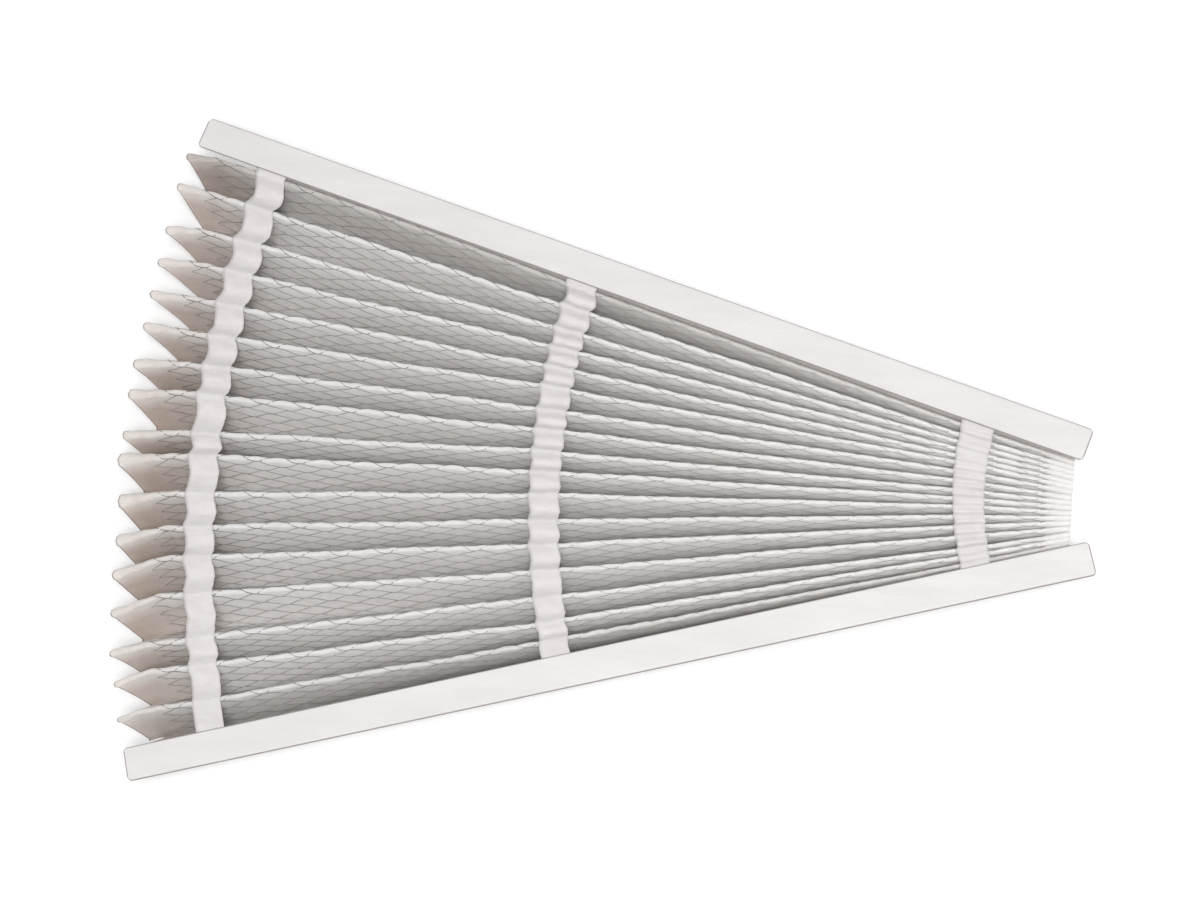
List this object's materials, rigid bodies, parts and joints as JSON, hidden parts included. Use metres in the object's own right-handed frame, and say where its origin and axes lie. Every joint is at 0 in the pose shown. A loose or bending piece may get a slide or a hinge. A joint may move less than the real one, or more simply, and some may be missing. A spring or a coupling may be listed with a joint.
{
  "type": "pleated panel air filter",
  "caption": "Collapsible pleated air filter fanned open: folded white media with a wire-mesh face, fabric spacing ribbons and two stiff paperboard end boards.",
  "frame": {"origin": "centre of the bounding box in plan, on the plane the back folds lie on", "axes": "+X along the pleats from the wide end to the narrow end, +Y across the pleats towards the upper end board, +Z towards the wire-backed face"},
  "size_m": [0.6437, 0.4552, 0.0463],
  "materials": {
    "media": "white bonded nonwoven, soft and matte",
    "wire": "flattened expanded metal, dull with bright edges",
    "ribbon": "plain white woven tape, matte",
    "board": "smooth white paperboard, folded double"
  },
  "bodies": {
    "root": {"pleated_media": "media", "wire_backing": "wire", "ribbon_wide_end": "ribbon", "ribbon_middle": "ribbon", "ribbon_narrow_end": "ribbon", "end_board_upper": "board", "end_board_lower": "board"}
  },
  "joints": []
}
